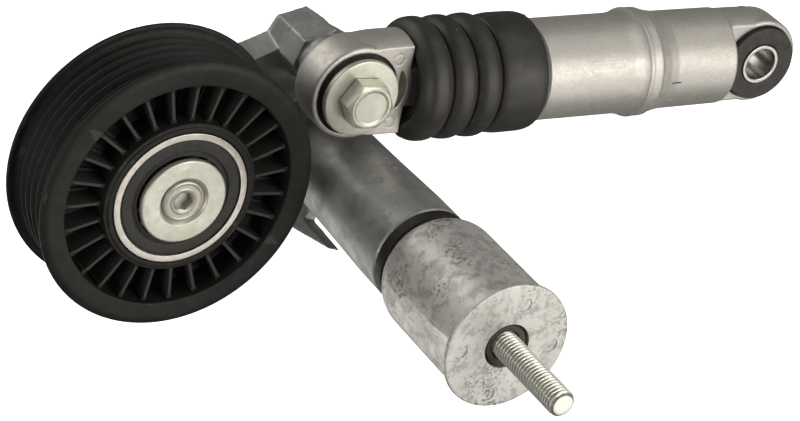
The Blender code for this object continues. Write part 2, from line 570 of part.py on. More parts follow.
def main():
    clear_scene()
    cast_base = material("pale_cast_aluminium", (0.60, 0.60, 0.57), 0.45, 0.85)
    cast_arm = material("grey_cast_aluminium", (0.30, 0.30, 0.29), 0.42, 0.85)
    cast_damper = material("satin_cast_aluminium", (0.56, 0.54, 0.50), 0.40, 0.80)
    rubber = material("black_rubber", (0.030, 0.028, 0.026), 0.55, 0.0)
    nylon = material("black_nylon", (0.035, 0.034, 0.032), 0.60, 0.0)
    plastic = material("grey_plastic", (0.12, 0.12, 0.11), 0.50, 0.0)
    steel = material("ground_steel", (0.50, 0.48, 0.45), 0.28, 1.0)
    zinc = material("zinc_plated_steel", (0.66, 0.66, 0.56), 0.35, 0.90)

    pivot = axis_frame("pivot_frame", (PIVOT_AXIS[0], 0.0, PIVOT_AXIS[1]))
    pulley = axis_frame("pulley_frame", (PULLEY_AXIS[0], 0.0, PULLEY_AXIS[1]))
    pin = axis_frame("damper_pin_frame", (DAMPER_PIN_AXIS[0], 0.0, DAMPER_PIN_AXIS[1]))
    build_base(pivot, cast_base, rubber, steel, zinc, plastic)
    build_arm(pivot, pulley, pin, cast_arm, plastic)
    build_damper_bolt(pin, zinc, steel)
    build_pulley_bolt(pulley, zinc, steel)
    build_inner_ring(pulley, steel)
    build_pulley(pulley, nylon, steel, rubber)
    build_cage(pulley, plastic, steel)

    damper = axis_frame("damper_frame", (DAMPER_PIN_AXIS[0], DAMPER_MID_Y, DAMPER_PIN_AXIS[1]), DAMPER_SLOPE)
    far_eye = axis_frame("far_eye_frame", (EYE_TO_EYE, 0.0, 0.0), parent=damper)
    build_rod_end(damper, cast_damper, rubber, steel, plastic)
    build_damper_body(damper, far_eye, cast_damper, rubber, steel, plastic)


main()
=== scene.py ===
"""Looks of the belt tensioner idler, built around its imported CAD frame.

Shapes are given in millimetres, each in the frame of the axis that it is turned or cut about.
In every such frame Y is the axis across the arm; the damper's own frame has X along its rod.
"""
import json
import math

import bpy
import numpy as np
from mathutils import Matrix, Vector

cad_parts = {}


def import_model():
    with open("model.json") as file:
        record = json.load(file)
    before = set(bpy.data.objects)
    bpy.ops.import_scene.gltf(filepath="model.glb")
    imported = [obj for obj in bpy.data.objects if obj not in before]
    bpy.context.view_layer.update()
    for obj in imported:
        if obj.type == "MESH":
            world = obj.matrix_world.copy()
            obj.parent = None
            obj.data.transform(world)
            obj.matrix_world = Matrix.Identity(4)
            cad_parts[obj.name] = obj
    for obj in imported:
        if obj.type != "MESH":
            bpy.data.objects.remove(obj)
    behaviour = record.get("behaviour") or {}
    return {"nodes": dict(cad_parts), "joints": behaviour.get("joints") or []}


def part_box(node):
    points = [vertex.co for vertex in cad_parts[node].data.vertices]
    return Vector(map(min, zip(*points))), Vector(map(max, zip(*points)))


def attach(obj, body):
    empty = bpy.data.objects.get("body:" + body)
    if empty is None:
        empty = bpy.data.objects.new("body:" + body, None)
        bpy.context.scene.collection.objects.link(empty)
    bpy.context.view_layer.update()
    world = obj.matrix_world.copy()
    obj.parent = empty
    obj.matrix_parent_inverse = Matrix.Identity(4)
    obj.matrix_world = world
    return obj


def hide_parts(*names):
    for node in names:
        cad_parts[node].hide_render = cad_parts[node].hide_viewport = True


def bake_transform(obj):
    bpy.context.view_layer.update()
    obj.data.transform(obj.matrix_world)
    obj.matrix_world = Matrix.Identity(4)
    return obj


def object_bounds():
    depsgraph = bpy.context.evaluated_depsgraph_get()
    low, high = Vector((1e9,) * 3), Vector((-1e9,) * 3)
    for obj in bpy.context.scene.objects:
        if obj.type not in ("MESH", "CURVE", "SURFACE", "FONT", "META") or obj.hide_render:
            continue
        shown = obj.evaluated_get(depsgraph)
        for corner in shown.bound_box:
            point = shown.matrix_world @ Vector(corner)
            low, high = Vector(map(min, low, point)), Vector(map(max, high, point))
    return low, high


MM = 0.001

# Camera: where it stands round the object's origin, and how far the view is moved aside
CAMERA_AZIMUTH = math.radians(-28.15)
CAMERA_ELEVATION = math.radians(33.81)
CAMERA_DISTANCE = 863.5
CAMERA_SIDE = 28.56
CAMERA_RISE = -36.27
CAMERA_LENS = 145.63
SENSOR_WIDTH = 36.0

LIGHT_COLOUR = (1.0, 0.975, 0.915)
FLOOR_DROP = 0.09           # metres from the lowest point at rest to the floor: room for the damper's swing

# Fineness of the meshes
ROUND = 160                 # segments of a large turned piece
SMALL_ROUND = 96            # segments of a small one
SHARP = math.radians(32)    # edges above this angle are drawn sharp
CAST_VOXEL = 0.34           # grain of the castings' skin
CAST_SOFTENING = 3          # smoothing rounds that give a casting its soft edges
FILLET_STEPS = 5            # parts of a rounded corner

# M8 screws: thread, shank, clearance hole and hexagon head
THREAD_PITCH = 1.25
THREAD_DEPTH = 0.72
THREAD_CREST = 0.14         # share of half a pitch that the crest takes
THREAD_FLANK = 0.72         # share of half a pitch that the flank takes
CHAMFER_RADIUS = 2.95       # radius at the thread's end
CHAMFER_SLOPE = 0.95
M8_RADIUS = 3.93
M8_HOLE_RADIUS = 4.3
M8_FLATS = 6.5              # half the width across a head's flats

# Pulley
GROOVES = 6
GROOVE_PITCH = 3.56
GROOVE_DEPTH = 2.6
WEB_DEPTH = 9.8             # from the flange's face to the web
RIBS = 27
RIB_PHASE = 0.73            # where the first rib stands, as a share of their spacing
RIB_RADII = (22.05, 34.45)  # where a rib starts in the hub and ends in the rim
COLUMN_PLACES = (23.1, 33.1)
COLUMN_RADIUS = 0.85

# Damper
EYE_HALF_WIDTH = 6.3
NEAR_EYE_HOLE = 12.7
FAR_EYE_HOLE = 11.9
EYE_MARKS = ((11.83, 9.89), (12.66, -9.98))      # the near eye's ejector marks
BODY_RADIUS = 14.95
FOLD_CREST = 18.0           # outer radius of the bellows' folds
FOLD_VALLEY = 15.4
BELLOWS_WALL = 2.0
FOLDS = ((21.4, 4.4), (29.8, 4.0), (38.0, 4.0))  # each fold's middle and half its length

# Base
FACE_MARKS = ((-14.3, 3.2), (13.4, -4.2), (5.2, 11.8), (-5.9, -13.8))   # the face's ejector marks
FLAT_ANGLE = math.radians(181.5)

# Lights: name, place in metres, size in metres and power
LIGHTS = (
    ("key", (0.48, -0.95, 0.25), (1.0, 0.8), 9.5),
    ("front_low_card", (0.42, -0.85, -0.55), (0.9, 0.5), 2.4),
    ("top_card", (0.60, -0.15, 0.90), (0.9, 0.7), 2.2),
    ("left_card", (-1.0, -0.25, 0.15), (0.6, 0.6), 3.0),
    ("back_card", (-0.40, 0.80, 0.60), (0.9, 0.6), 3.4),
    ("left_low_card", (-0.45, 0.75, -0.55), (0.7, 0.6), 1.9),
)
LIGHT_TARGET = (0.03, 0.08, 0.02)
WORLD_STRENGTH = 0.14


# --- frames ---

def joint_named(frame, name):
    """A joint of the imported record."""
    return next(joint for joint in frame["joints"] if joint["name"] == name)


def axes_of(frame):
    """The frames that the pieces are modelled in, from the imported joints."""
    pulley = Vector(joint_named(frame, "pulley_spin")["pos_m"])
    near = Vector(joint_named(frame, "damper_swing")["pos_m"])
    far = Vector(joint_named(frame, "far_sleeve_twist")["pos_m"])
    rod = Vector(joint_named(frame, "damper_slide")["axis"]).normalized()
    across = Vector((0.0, 1.0, 0.0))
    turn = Matrix((rod, across, rod.cross(across))).transposed().to_4x4()
    return {
        "pivot": Matrix.Identity(4),
        "pulley": Matrix.Translation((pulley.x, 0.0, pulley.z)),
        "pin": Matrix.Translation((near.x, 0.0, near.z)),
        "damper": Matrix.Translation(near) @ turn,
        "far_eye": Matrix.Translation(far) @ turn,
    }


# --- meshes ---

def signed_volume(mesh):
    """The mesh's volume, below zero where its faces point inwards."""
    mesh.calc_loop_triangles()
    points = np.array([vert.co for vert in mesh.vertices])
    corners = np.array([tri.vertices for tri in mesh.loop_triangles])
    a, b, c = points[corners[:, 0]], points[corners[:, 1]], points[corners[:, 2]]
    return float(np.einsum("ij,ij->i", a, np.cross(b, c)).sum() / 6.0)


def make(name, verts, faces, place, finish=None):
    """An object with outward faces from points in millimetres, standing in a frame."""
    mesh = bpy.data.meshes.new(name)
    mesh.from_pydata([(x * MM, y * MM, z * MM) for x, y, z in verts], [], faces)
    mesh.validate()
    if signed_volume(mesh) < 0.0:
        mesh.flip_normals()
    if finish:
        mesh.materials.append(finish)
    made = bpy.data.objects.new(name, mesh)
    made.matrix_world = place
    bpy.context.scene.collection.objects.link(made)
    shade(made)
    return made


def shade(made):
    """Smooth shading with sharp corners."""
    made.data.shade_smooth()
    made.data.set_sharp_from_angle(angle=SHARP)


def filleted(points):
    """A profile with its corners rounded; a point's third value is how far its rounding reaches."""
    made = []
    count = len(points)
    for index, point in enumerate(points):
        reach = point[2] if len(point) > 2 else 0.0
        here = Vector(point[:2])
        if reach <= 0.0:
            made.append(tuple(here))
            continue
        before = Vector(points[index - 1][:2])
        after = Vector(points[(index + 1) % count][:2])
        back = before - here
        ahead = after - here
        start = here + back.normalized() * min(reach, 0.48 * back.length)
        end = here + ahead.normalized() * min(reach, 0.48 * ahead.length)
        for step in range(FILLET_STEPS + 1):
            share = step / FILLET_STEPS
            spot = start * (1 - share) ** 2 + here * (2 * share * (1 - share)) + end * share ** 2
            made.append(tuple(spot))
    return made


def hexagon(angle):
    """How far a hexagon's edge lies from its centre, for flats at distance 1."""
    return 1.0 / math.cos((angle + math.pi / 6) % (math.pi / 3) - math.pi / 6)


def lathe(name, profile, place, finish=None, segments=ROUND, along="Y", shape=None, turn=0.0):
    """Turn a profile of (along, radius) points about the frame's axis.

    A profile that starts and ends on the axis makes a closed plug, any other one a ring.
    shape(angle, along, radius), where given, returns the radius to use there.
    """
    profile = filleted(profile)
    plug = profile[0][1] == 0.0
    points = profile[1:-1] if plug else profile
    verts, faces = [], []
    for reach, radius in points:
        for step in range(segments):
            angle = 2.0 * math.pi * step / segments
            out = shape(angle, reach, radius) if shape else radius
            side, up = out * math.cos(angle + turn), out * math.sin(angle + turn)
            verts.append((side, reach, up) if along == "Y" else (reach, side, up))
    rows = len(points)
    for row in range(rows if not plug else rows - 1):
        below, above = row * segments, (row + 1) % rows * segments
        for step in range(segments):
            after = (step + 1) % segments
            faces.append((below + step, below + after, above + after, above + step))
    if plug:
        faces.append(tuple(range(segments))[::-1])
        faces.append(tuple(range((rows - 1) * segments, rows * segments)))
    return make(name, verts, faces, place, finish)


def between(name, near, far, place):
    """A solid between two outlines with the same number of points."""
    count = len(near)
    faces = [tuple(range(count)), tuple(range(count, 2 * count))[::-1]]
    for index in range(count):
        after = (index + 1) % count
        faces.append((index, index + count, after + count, after))
    return make(name, near + far, faces, place)


def prism(name, outline, start, end, place):
    """Extrude an (X, Z) outline along Y."""
    return between(name, [(x, start, z) for x, z in outline], [(x, end, z) for x, z in outline], place)


def arc(centre, radius, start, end, steps):
    """Points on an arc, with its angles in degrees."""
    angles = [math.radians(start + (end - start) * step / steps) for step in range(steps + 1)]
    return [(centre[0] + radius * math.cos(a), centre[1] + radius * math.sin(a)) for a in angles]


def plug(start, end, radius, place, segments=ROUND, along="Y"):
    """A plain round bar, to cut a hole with or to join on."""
    return lathe("plug", [(start, 0.0), (start, radius), (end, radius), (end, 0.0)], place,
                 segments=segments, along=along)


def aside(place, x, z):
    """A frame beside another one."""
    return place @ Matrix.Translation((x * MM, 0.0, z * MM))


def slab(name, outline, angle, half_width, place):
    """A slab with an outline of (along, radius) points, standing out from the axis at an angle."""
    out = Vector((math.cos(angle), 0.0, math.sin(angle)))
    side = Vector((-math.sin(angle), 0.0, math.cos(angle))) * half_width
    near = [out * radius + Vector((0.0, along, 0.0)) - side for along, radius in outline]
    return between(name, near, [point + 2.0 * side for point in near], place)


def apply_modifiers(made):
    """Put an object's modifiers into its mesh."""
    bpy.context.view_layer.update()
    evaluated = made.evaluated_get(bpy.context.evaluated_depsgraph_get())
    mesh = bpy.data.meshes.new_from_object(evaluated)
    made.modifiers.clear()
    made.data = mesh


def combine(made, tools, operation):
    """Join tools to an object or cut them out of it, then drop the tools."""
    for tool in tools:
        modifier = made.modifiers.new(tool.name, "BOOLEAN")
        modifier.operation = operation
        modifier.solver = "EXACT"
        modifier.object = tool
    apply_modifiers(made)
    for tool in tools:
        bpy.data.objects.remove(tool, do_unlink=True)
    return made


def cast_skin(made, finish, voxel=CAST_VOXEL, softening=CAST_SOFTENING):
    """Give a joined solid the one soft-edged skin of a casting."""
    remesh = made.modifiers.new("skin", "REMESH")
    remesh.mode = "VOXEL"
    remesh.voxel_size = voxel * MM
    smooth = made.modifiers.new("soften", "SMOOTH")
    smooth.factor = 0.5
    smooth.iterations = softening
    apply_modifiers(made)
    made.data.materials.clear()
    made.data.materials.append(finish)
    made.data.shade_smooth()
    return made


def level(made):
    """Put the turn of an object's frame into its mesh, so that its box is a tight one."""
    middle = made.matrix_world.to_translation()
    made.data.transform(made.matrix_world.to_3x3().to_4x4())
    made.matrix_world = Matrix.Translation(middle)


def depths(node):
    """Where a CAD node starts and ends along Y, in millimetres."""
    low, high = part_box(node)
    return low.y / MM, high.y / MM


def show(made, body, slot, *nodes):
    """Let a piece ride on a body and stand for CAD nodes, if there are any; slot is not used."""
    level(made)
    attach(made, body)
    if nodes:
        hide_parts(*nodes)


# --- materials ---

class Surface:
    """A Principled material with short calls for the nodes that vary it over the surface."""

    def __init__(self, name, metallic=0.0, roughness=0.5, specular=0.5):
        self.material = bpy.data.materials.new(name)
        self.material.use_nodes = True
        self.nodes = self.material.node_tree.nodes
        self.links = self.material.node_tree.links
        self.shader = self.nodes["Principled BSDF"]
        self.shader.inputs["Metallic"].default_value = metallic
        self.shader.inputs["Roughness"].default_value = roughness
        self.shader.inputs["Specular IOR Level"].default_value = specular
        self.place = self.nodes.new("ShaderNodeTexCoord").outputs["Object"]
        self.normal = None

    def put(self, socket, value):
        """Link a socket or set its number or colour."""
        if isinstance(value, bpy.types.NodeSocket):
            self.links.new(value, socket)
        elif isinstance(value, tuple):
            socket.default_value = (*value, 1.0)
        else:
            socket.default_value = value

    def noise(self, size, detail=3.0, roughness=0.55, stretch=(1.0, 1.0, 1.0), distortion=0.0):
        """Noise whose features measure about size millimetres."""
        mapping = self.nodes.new("ShaderNodeMapping")
        mapping.inputs["Scale"].default_value = [1.0 / (size * MM * part) for part in stretch]
        self.links.new(self.place, mapping.inputs["Vector"])
        node = self.nodes.new("ShaderNodeTexNoise")
        self.links.new(mapping.outputs["Vector"], node.inputs["Vector"])
        node.inputs["Scale"].default_value = 1.0
        node.inputs["Detail"].default_value = detail
        node.inputs["Roughness"].default_value = roughness
        node.inputs["Distortion"].default_value = distortion
        return node.outputs["Fac"]

    def radius(self):
        """Distance from the frame's Y axis, in metres."""
        split = self.nodes.new("ShaderNodeSeparateXYZ")
        self.links.new(self.place, split.inputs["Vector"])
        join = self.nodes.new("ShaderNodeCombineXYZ")
        self.links.new(split.outputs["X"], join.inputs["X"])
        self.links.new(split.outputs["Z"], join.inputs["Y"])
        length = self.nodes.new("ShaderNodeVectorMath")
        length.operation = "LENGTH"
        self.links.new(join.outputs["Vector"], length.inputs[0])
        return length.outputs["Value"]

    def reach(self):
        """Place along the frame's Y axis, in metres."""
        split = self.nodes.new("ShaderNodeSeparateXYZ")
        self.links.new(self.place, split.inputs["Vector"])
        return split.outputs["Y"]

    def rings(self, size):
        """Fine turned lines round the axis."""
        scaled = self.math("DIVIDE", self.radius(), size * MM)
        node = self.nodes.new("ShaderNodeTexNoise")
        node.noise_dimensions = "1D"
        self.links.new(scaled, node.inputs["W"])
        node.inputs["Scale"].default_value = 1.0
        node.inputs["Detail"].default_value = 2.0
        return node.outputs["Fac"]

    def pointiness(self, low, high):
        """0 in creases and 1 on edges."""
        return self.span(self.nodes.new("ShaderNodeNewGeometry").outputs["Pointiness"], low, high)

    def span(self, value, low, high, start=0.0, end=1.0):
        """Map a value from low..high to start..end, held at both ends."""
        node = self.nodes.new("ShaderNodeMapRange")
        self.put(node.inputs["Value"], value)
        node.inputs["From Min"].default_value = low
        node.inputs["From Max"].default_value = high
        node.inputs["To Min"].default_value = start
        node.inputs["To Max"].default_value = end
        return node.outputs["Result"]

    def math(self, operation, first, second):
        """Two values put through a Math node."""
        node = self.nodes.new("ShaderNodeMath")
        node.operation = operation
        self.put(node.inputs[0], first)
        self.put(node.inputs[1], second)
        return node.outputs["Value"]

    def mix(self, share, first, second):
        """A colour between two, by a share from 0 to 1."""
        node = self.nodes.new("ShaderNodeMix")
        node.data_type = "RGBA"
        self.put(node.inputs[0], share)
        self.put(node.inputs[6], first)
        self.put(node.inputs[7], second)
        return node.outputs[2]

    def tint(self, colour, share, strength, over):
        """Lay another colour over one, by a share scaled by strength."""
        return self.mix(self.math("MULTIPLY", share, strength), colour, over)

    def uneven(self, size, low, high, detail=4.0):
        """Roughness that wanders between low and high."""
        return self.span(self.noise(size, detail, 0.6), 0.35, 0.65, low, high)

    def bump(self, height, depth, strength):
        """Add relief depth millimetres deep to what is there already."""
        node = self.nodes.new("ShaderNodeBump")
        self.put(node.inputs["Height"], height)
        node.inputs["Distance"].default_value = depth * MM
        node.inputs["Strength"].default_value = strength
        if self.normal:
            self.links.new(self.normal, node.inputs["Normal"])
        self.normal = node.outputs["Normal"]

    def finish(self, colour, roughness=None):
        """Connect the colour, roughness and relief, and return the material."""
        self.put(self.shader.inputs["Base Color"], colour)
        if roughness is not None:
            self.put(self.shader.inputs["Roughness"], roughness)
        if self.normal:
            self.links.new(self.normal, self.shader.inputs["Normal"])
        return self.material


def blotchy_casting(name):
    """Pale as-cast aluminium with grey flow marks, dark speckled patches and small pits."""
    s = Surface(name, metallic=0.55)
    flow = s.span(s.noise(3.4, 8.0, 0.74, distortion=0.2), 0.50, 0.56)
    colour = s.mix(flow, (0.67, 0.655, 0.625), (0.46, 0.45, 0.433))
    patches = s.span(s.noise(12.0, 3.0, 0.5), 0.52, 0.62)
    specks = s.span(s.noise(1.1, 4.0, 0.6), 0.51, 0.56)
    clusters = s.math("MULTIPLY", patches, specks)
    colour = s.tint(colour, clusters, 0.9, (0.20, 0.195, 0.185))
    clouds = s.span(s.noise(9.0, 4.0, 0.6, distortion=0.8), 0.45, 0.62)
    colour = s.tint(colour, clouds, 0.35, (0.68, 0.665, 0.63))
    # Painted highlight: every edge is lightened towards a pale grey.
    colour = s.tint(colour, s.pointiness(0.52, 0.58), 0.5, (0.78, 0.765, 0.73))
    s.bump(s.noise(0.35, 3.0, 0.6), 0.03, 0.55)
    s.bump(s.noise(3.0, 4.0, 0.6), 0.06, 0.5)
    return s.finish(colour, s.uneven(4.0, 0.40, 0.58))


def arm_casting(name):
    """Mid-grey die casting with edges lightened as a painted highlight, long faint streaks and a few
    scratches.
    """
    s = Surface(name, metallic=0.60)
    colour = s.mix(s.span(s.noise(9.0, 5.0, 0.6), 0.38, 0.64), (0.33, 0.33, 0.32), (0.45, 0.45, 0.44))
    streaks = s.span(s.noise(1.6, 3.0, 0.6, stretch=(1.0, 14.0, 1.0)), 0.50, 0.66)
    colour = s.tint(colour, streaks, 0.35, (0.48, 0.48, 0.47))
    stains = s.span(s.noise(3.2, 5.0, 0.7, distortion=0.6), 0.56, 0.68)
    colour = s.tint(colour, stains, 0.5, (0.20, 0.20, 0.195))
    nicks = s.span(s.noise(1.1, 2.0, 0.5), 0.70, 0.76)
    colour = s.mix(nicks, colour, (0.75, 0.75, 0.73))
    # Painted highlight: edges are lightened towards a pale grey.
    colour = s.tint(colour, s.pointiness(0.52, 0.56), 0.85, (0.72, 0.72, 0.71))
    s.bump(s.noise(0.4, 3.0, 0.6), 0.02, 0.5)
    s.bump(streaks, 0.02, 0.35)
    return s.finish(colour, s.uneven(5.0, 0.42, 0.58))


def damper_casting(name):
    """Warm pale casting with an even satin, finely blasted face."""
    s = Surface(name, metallic=0.70)
    colour = s.mix(s.span(s.noise(0.45, 3.0, 0.7), 0.35, 0.68), (0.50, 0.475, 0.44), (0.66, 0.635, 0.595))
    clouds = s.span(s.noise(11.0, 4.0, 0.55), 0.42, 0.64)
    colour = s.tint(colour, clouds, 0.28, (0.46, 0.44, 0.405))
    specks = s.span(s.noise(0.8, 2.0, 0.5), 0.70, 0.78)
    colour = s.tint(colour, specks, 0.5, (0.30, 0.285, 0.26))
    # Painted highlight: edges are lightened towards a pale warm grey.
    colour = s.tint(colour, s.pointiness(0.52, 0.58), 0.6, (0.80, 0.78, 0.74))
    s.bump(s.noise(0.3, 3.0, 0.65), 0.025, 0.6)
    return s.finish(colour, s.uneven(2.0, 0.42, 0.54))


def bellows_rubber(name):
    """Black satin rubber with a dusty bloom and fine mould grain."""
    s = Surface(name, specular=0.42)
    colour = s.mix(s.span(s.noise(8.0, 4.0, 0.6), 0.40, 0.66), (0.026, 0.024, 0.022), (0.040, 0.037, 0.034))
    specks = s.span(s.noise(1.2, 2.0, 0.5), 0.72, 0.78)
    colour = s.mix(specks, colour, (0.16, 0.155, 0.15))
    s.bump(s.noise(0.5, 3.0, 0.6), 0.02, 0.4)
    return s.finish(colour, s.uneven(6.0, 0.40, 0.52))


def plain_rubber(name, colour, light):
    """Matt rubber with a faint bloom."""
    s = Surface(name, specular=0.35)
    tone = s.mix(s.span(s.noise(3.0, 4.0, 0.6), 0.38, 0.66), colour, light)
    specks = s.span(s.noise(0.9, 2.0, 0.5), 0.73, 0.79)
    tone = s.mix(specks, tone, tuple(part * 3.0 for part in light))
    s.bump(s.noise(0.4, 3.0, 0.6), 0.02, 0.5)
    return s.finish(tone, s.uneven(2.0, 0.50, 0.64, detail=3.0))


def pulley_nylon(name):
    """Black glass-filled nylon: charcoal, matt, with short pale fibres and corners lightened as a painted
    highlight.
    """
    s = Surface(name, specular=0.28)
    clouds = s.span(s.noise(7.0, 4.0, 0.6), 0.38, 0.66)
    colour = s.mix(clouds, (0.010, 0.0095, 0.0083), (0.016, 0.0152, 0.0136))
    fibres = s.span(s.noise(0.6, 3.0, 0.7, stretch=(1.0, 1.0, 2.5)), 0.60, 0.72)
    colour = s.tint(colour, fibres, 0.35, (0.05, 0.048, 0.045))
    # Painted highlight: corners and groove crests are lightened.
    colour = s.tint(colour, s.pointiness(0.53, 0.60), 0.6, (0.06, 0.058, 0.054))
    s.bump(s.noise(0.35, 3.0, 0.6), 0.02, 0.6)
    return s.finish(colour, s.uneven(3.0, 0.46, 0.60))


def turned_steel(name, dark, light, roughness, ring_size=0.10):
    """Steel with fine lines round its axis."""
    s = Surface(name, metallic=1.0)
    lines = s.span(s.rings(ring_size), 0.30, 0.70)
    colour = s.mix(lines, dark, light)
    stains = s.span(s.noise(4.0, 4.0, 0.6), 0.55, 0.70)
    colour = s.tint(colour, stains, 0.4, dark)
    s.bump(lines, 0.006, 0.5)
    return s.finish(colour, s.uneven(2.5, roughness * 0.85, roughness * 1.2))


def zinc_plate(name, shade=1.0, root=None, crest=None):
    """Yellow-green passivated zinc with a faint mottle and small dents.

    root and crest, where given, are a thread's radii: its roots get painted shade, and its crests, end face
    and head a painted highlight.
    """
    s = Surface(name, metallic=0.68)
    greenish = (0.57 * shade, 0.575 * shade, 0.48 * shade)
    yellowish = (0.66 * shade, 0.655 * shade, 0.585 * shade)
    colour = s.mix(s.span(s.noise(6.0, 4.0, 0.6), 0.40, 0.62), greenish, yellowish)
    blush = s.span(s.noise(9.0, 2.0, 0.5), 0.54, 0.66)
    colour = s.tint(colour, blush, 0.30, (0.70, 0.60, 0.52))
    grime = s.span(s.noise(1.2, 4.0, 0.7), 0.60, 0.72)
    colour = s.tint(colour, grime, 0.35, (0.36, 0.36, 0.32))
    if root:
        # Painted shade in the thread's roots, and a painted highlight on its crests, end face and head.
        height = s.span(s.radius(), root * MM, crest * MM)
        end_face = s.span(s.radius(), (root - 0.5) * MM, (root - 0.2) * MM, 1.0, 0.0)
        head = s.span(s.reach(), 10.0 * MM, 11.0 * MM)
        height = s.math("MAXIMUM", s.math("MAXIMUM", height, end_face), head)
        colour = s.mix(height, (0.26, 0.26, 0.23), s.mix(0.9, colour, (0.95, 0.95, 0.87)))
    s.bump(s.noise(1.5, 4.0, 0.6), 0.03, 0.4)
    s.bump(s.noise(0.3, 2.0, 0.5), 0.012, 0.4)
    return s.finish(colour, s.uneven(2.0, 0.34, 0.46))


def moulded_plastic(name, colour, light):
    """Smooth engineering plastic with slight mottling."""
    s = Surface(name)
    tone = s.mix(s.span(s.noise(4.0, 4.0, 0.6), 0.38, 0.66), colour, light)
    s.bump(s.noise(0.6, 2.0, 0.5), 0.01, 0.5)
    return s.finish(tone, s.uneven(2.0, 0.38, 0.52, detail=3.0))


def make_materials():
    """Every material, by a short name."""
    return {
        "base": blotchy_casting("base_cast_aluminium"),
        "arm": arm_casting("arm_cast_aluminium"),
        "damper": damper_casting("damper_cast_aluminium"),
        "bellows": bellows_rubber("bellows_rubber"),
        "seal": plain_rubber("seal_rubber", (0.030, 0.029, 0.026), (0.042, 0.041, 0.037)),
        "bush": plain_rubber("bush_rubber", (0.040, 0.037, 0.034), (0.060, 0.056, 0.052)),
        "friction": plain_rubber("friction_ring_black", (0.016, 0.015, 0.013), (0.024, 0.022, 0.020)),
        "collar": plain_rubber("collar_rubber", (0.050, 0.046, 0.036), (0.075, 0.070, 0.056)),
        "nylon": pulley_nylon("pulley_nylon"),
        "ring": turned_steel("bearing_steel", (0.42, 0.39, 0.36), (0.62, 0.585, 0.54), 0.34),
        "sleeve": turned_steel("sleeve_steel", (0.36, 0.34, 0.32), (0.60, 0.58, 0.55), 0.26),
        "steel": turned_steel("ground_steel", (0.40, 0.39, 0.38), (0.58, 0.57, 0.55), 0.30, 0.2),
        "spring": turned_steel("spring_steel", (0.10, 0.10, 0.10), (0.18, 0.18, 0.17), 0.40, 0.4),
        "zinc": zinc_plate("zinc_plate"),
        "bolt": zinc_plate("zinc_bolt", shade=0.74),
        "thread": zinc_plate("zinc_thread", root=3.25, crest=3.85),
        "plastic": moulded_plastic("polymer", (0.10, 0.10, 0.095), (0.15, 0.15, 0.14)),
    }


# --- pieces: base ---

def build_base(place, finishes):
    """The casting bolted to the engine, with its flat, its ejector marks and the captive collar."""
    casting = lathe("base_body", [
        (0.0, 6.7, 0.25), (0.0, 18.9, 0.55), (1.3, 19.0, 0.5), (1.9, 17.75, 0.5), (38.6, 17.6, 3.0),
        (43.2, 14.9, 1.6), (43.2, 12.9, 0.2), (52.0, 12.9, 0.4), (52.0, 12.0), (9.0, 12.0, 1.5), (9.0, 6.8),
        (4.6, 6.8), (4.6, 6.6),
    ], place, finishes["base"], segments=192)
    flat_outline = [(2.4, 16.25), (38.0, 17.72), (38.0, 24.0), (2.4, 24.0)]
    facet = slab("base_flat", flat_outline, FLAT_ANGLE, 18.0, place)
    marks = [lathe("ejector_mark", [(-1.0, 0.0), (-1.0, 2.3), (0.32, 2.2), (0.32, 0.0)],
                   aside(place, x, z), segments=48)
             for x, z in FACE_MARKS]
    combine(casting, [facet, *marks], "DIFFERENCE")
    casting.data.shade_smooth()
    casting.data.set_sharp_from_angle(angle=math.radians(20))
    show(casting, "base", "base_casting", "base_casting")

    collar = lathe("collar_ring", [
        (0.5, 4.3, 0.3), (0.5, 6.1, 0.4), (4.2, 6.2, 0.3), (4.2, 4.3, 0.3),
    ], place, finishes["collar"], segments=SMALL_ROUND)
    show(collar, "base", "rubber", "captive_collar")

    ring = lathe("friction_ring_detail", [
        (43.5, 13.2), (43.5, 15.2, 0.35), (47.2, 15.2, 0.35), (47.2, 13.7), (52.0, 13.7, 0.3), (52.0, 13.2),
    ], place, finishes["friction"])
    show(ring, "base", "nylon", "friction_ring")


def thread_radius(angle, along, radius):
    """The radius of a right-hand thread, with flat crests and rounded roots."""
    turn = (along / THREAD_PITCH + angle / (2.0 * math.pi)) % 1.0
    wave = abs(2.0 * turn - 1.0)
    return radius - THREAD_DEPTH * min(1.0, max(0.0, (wave - THREAD_CREST) / THREAD_FLANK))


def threaded(start, end, outer):
    """Shape for a rod whose thread runs from start to end and is chamfered at start."""
    def shape(angle, along, radius):
        if radius < outer - 0.01 or not start <= along <= end:
            return radius
        chamfer = CHAMFER_RADIUS + (along - start) * CHAMFER_SLOPE
        fade = min(1.0, max(0.0, (end - along) / THREAD_PITCH))
        cut = outer - thread_radius(angle, along, outer)
        return min(chamfer, outer - cut * fade)
    return shape


def build_mounting_bolt(place, finish):
    """The long M8 bolt through the pivot: its thread stands out of the mounting face."""
    low, high = depths("mounting_bolt")
    thread_end = 5.0
    rows = int((thread_end - low) / (THREAD_PITCH / 9.0))
    thread = [(low + (thread_end - low) * row / rows, M8_RADIUS) for row in range(rows + 1)]
    head = high - 6.8
    bevel = high - 1.1
    stud_shape = threaded(low, thread_end, M8_RADIUS)

    def shape(angle, along, radius):
        if along > head + 1.3 and radius > M8_RADIUS:
            return min(M8_FLATS * hexagon(angle), 7.55 - 1.6 * max(0.0, along - bevel))
        return stud_shape(angle, along, radius)

    top = [(bevel + 0.1 * step, 7.0) for step in range(12)]
    bolt = lathe("mounting_bolt_detail", [
        (low, 0.0), (low, 2.2), (low + 0.02, 2.5), *thread[1:], (head, M8_RADIUS), (head, 8.3),
        (head + 0.4, 8.4), (head + 1.2, 8.3), (head + 1.5, 7.0), *top, (high, 0.0),
    ], place, finish, segments=72, shape=shape)
    show(bolt, "base", "zinc_steel", "mounting_bolt")


# --- pieces: arm ---

